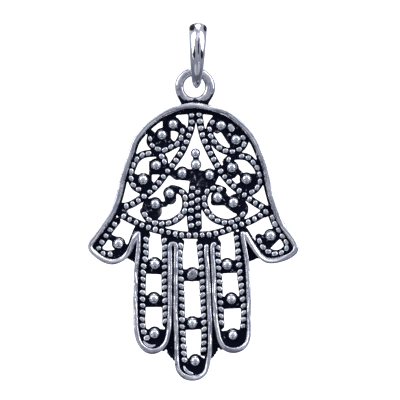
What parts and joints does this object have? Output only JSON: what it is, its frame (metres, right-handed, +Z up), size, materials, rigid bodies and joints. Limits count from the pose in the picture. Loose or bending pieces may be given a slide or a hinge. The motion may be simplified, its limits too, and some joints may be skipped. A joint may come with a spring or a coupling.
{
  "type": "hand-shaped pendant",
  "caption": "Pierced, beaded silver hand pendant that hangs by its ring from a tapered bail, for wearing on a chain.",
  "frame": {"origin": "the chain seat: the middle of the bail's inner surface at its top, where the chain rests", "axes": "+Z up along the hanging pendant, +X to the right seen from the front, -Y out of the beaded front"},
  "size_m": [0.021, 0.0046, 0.0358],
  "materials": {
    "hand_silver": "polished silver with blackened recesses",
    "bail_silver": "polished silver"
  },
  "bodies": {
    "bail": {"bail": "bail_silver"},
    "hand": {"hand": "hand_silver"}
  },
  "joints": [
    {"name": "hand_swing", "type": "hinge", "parent": "bail", "child": "hand", "pos_m": [-0.0003, 0, -0.00411], "axis": [1, 0, 0], "range_deg": [-90, 90]}
  ]
}
